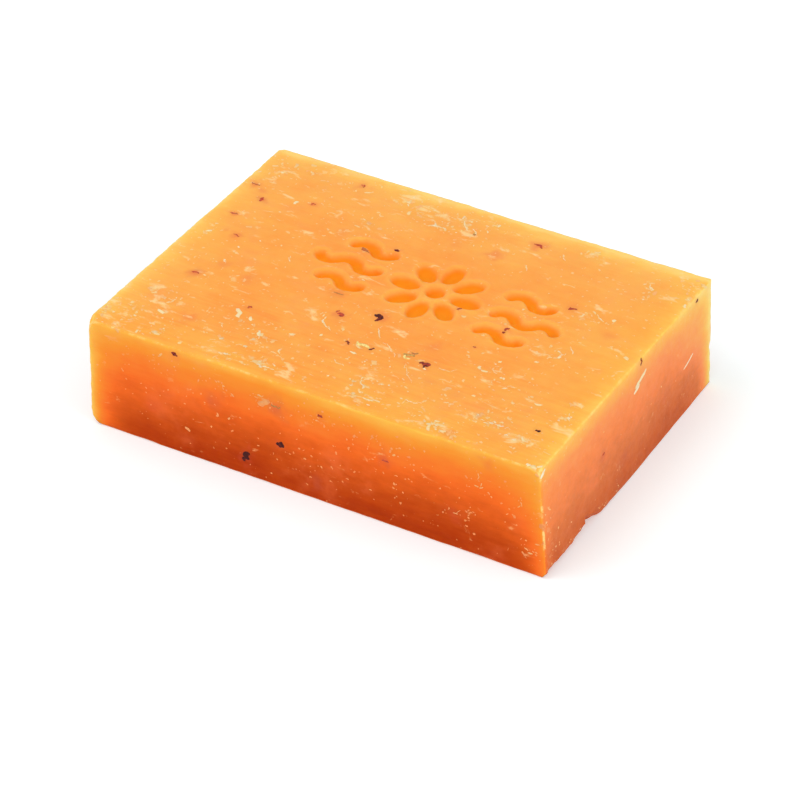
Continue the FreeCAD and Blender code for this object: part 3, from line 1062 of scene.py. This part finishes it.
def bitMaterial(name, look, grain):
    material, nodes, surface = newMaterial(name)
    fine = nodes.group(grain, **look["grain"])
    tone, rough = (nodes.span(fine["Mask"], 0.3, 0.7, *look[part]) for part in ("toneShift", "roughness"))
    shade = nodes.ramp(nodes.plus(nodes.attribute("tone"), tone), look["colours"])
    nodes.fill(surface, Base_Color=shade, Roughness=rough, Normal=nodes.bump(fine["Height"]))
    nodes.fill(surface, **look["surface"])
    return material


# Camera, from the front left foot in millimetres
view = {
    "place": (298.84, -418.8, 371.31),
    "azimuth": 29.44,
    "elevation": 35.61,
    "roll": 0.18,
    "lens": 161.3,
    "sensor": 36.0,
}


def makeCamera():
    data = bpy.data.cameras.new("camera")
    data.lens = view["lens"]
    data.sensor_width = view["sensor"]
    data.clip_start = 0.01
    data.clip_end = 20
    camera = addObject("camera", data)
    a, e, roll = (math.radians(view[name]) for name in ("azimuth", "elevation", "roll"))
    ahead = np.array([-math.sin(a) * math.cos(e), math.cos(a) * math.cos(e), -math.sin(e)])
    right = np.array([math.cos(a), math.sin(a), 0])
    up = np.cross(right, ahead)
    cosine, sine = math.cos(roll), math.sin(roll)
    right, up = cosine * right + sine * up, cosine * up - sine * right
    camera.matrix_world = axesAt(right, up, -ahead, toFrame(np.array(view["place"])))
    bpy.context.scene.camera = camera


# Light: a pale room, a large soft lamp above on the left, and two more low on the front and the right. Lamps
# have a place and a width in metres, and a power in watts
studio = {
    "room": 0.69,
    "lamps": [
        ("keyLamp", (-0.55, -0.45, 1.15), 0.9, 4.75),
        ("frontLamp", (0.05, -1.3, 0.45), 0.9, 3.0),
        ("rightLamp", (1.3, -0.1, 0.5), 0.9, 5.5),
    ],
    "floor": (228, 238, 240),
    "floorLift": 0.28,
    "floorSize": 6.0,
}


def makeStudio():
    world = bpy.data.worlds.new("room")
    bpy.context.scene.world = world
    world.use_nodes = True
    nodes = Nodes(world.node_tree)
    path = nodes.add("ShaderNodeLightPath")
    seen = nodes.most(path.outputs["Is Camera Ray"], path.outputs["Is Glossy Ray"])
    seen = nodes.most(seen, path.outputs["Is Transmission Ray"])
    strength = nodes.plus(nodes.times(seen, 1 - studio["room"]), studio["room"])
    background = nodes.add("ShaderNodeBackground", Color=(1, 1, 1, 1), Strength=strength)
    nodes.add("ShaderNodeOutputWorld", Surface=background.outputs["Background"])
    for name, place, size, power in studio["lamps"]:
        data = bpy.data.lights.new(name, "AREA")
        data.shape = "DISK"
        data.size = size
        data.energy = power
        aim = np.array([0, 0, 0.01]) - np.array(place)
        back = -aim / np.linalg.norm(aim)
        side = np.cross((0, 0, 1), back)
        side /= np.linalg.norm(side)
        addObject(name, data).matrix_world = axesAt(side, np.cross(back, side), back, place)
    half = studio["floorSize"] / 2
    corners = [(-half, -half, 0), (half, -half, 0), (half, half, 0), (-half, half, 0)]
    mesh = bpy.data.meshes.new("floor")
    mesh.from_pydata(corners, [], [(0, 1, 2, 3)])
    floor = addObject("floor", mesh)
    material, nodes, surface = newMaterial("paleFloor")
    nodes.fill(surface, Base_Color=colour(*studio["floor"]), Roughness=0.9, Specular_IOR_Level=0.0)
    lift = nodes.times(nodes.add("ShaderNodeLightPath").outputs["Is Camera Ray"], studio["floorLift"])
    nodes.fill(surface, Emission_Color=(1, 1, 1, 1), Emission_Strength=lift)
    mesh.materials.append(material)


makeCamera()
makeStudio()
print("camera and studio are set")
soapBar, skin = makeBar()
soapCrumbs = makeCrumbs(skin)
dryPlants = makePlantBits(skin)
grain = waxGrain()
soapBar.data.materials.append(soapMaterial(grain, paleMask("paleSpecks"), paleMask("softSmudges")))
soapCrumbs.data.materials.append(bitMaterial("soapCrumb", crumbLook, grain))
dryPlants.data.materials.append(bitMaterial("driedPlant", plantLook, grain))
print("materials are set")
bpy.context.scene.view_settings.view_transform = "Standard"
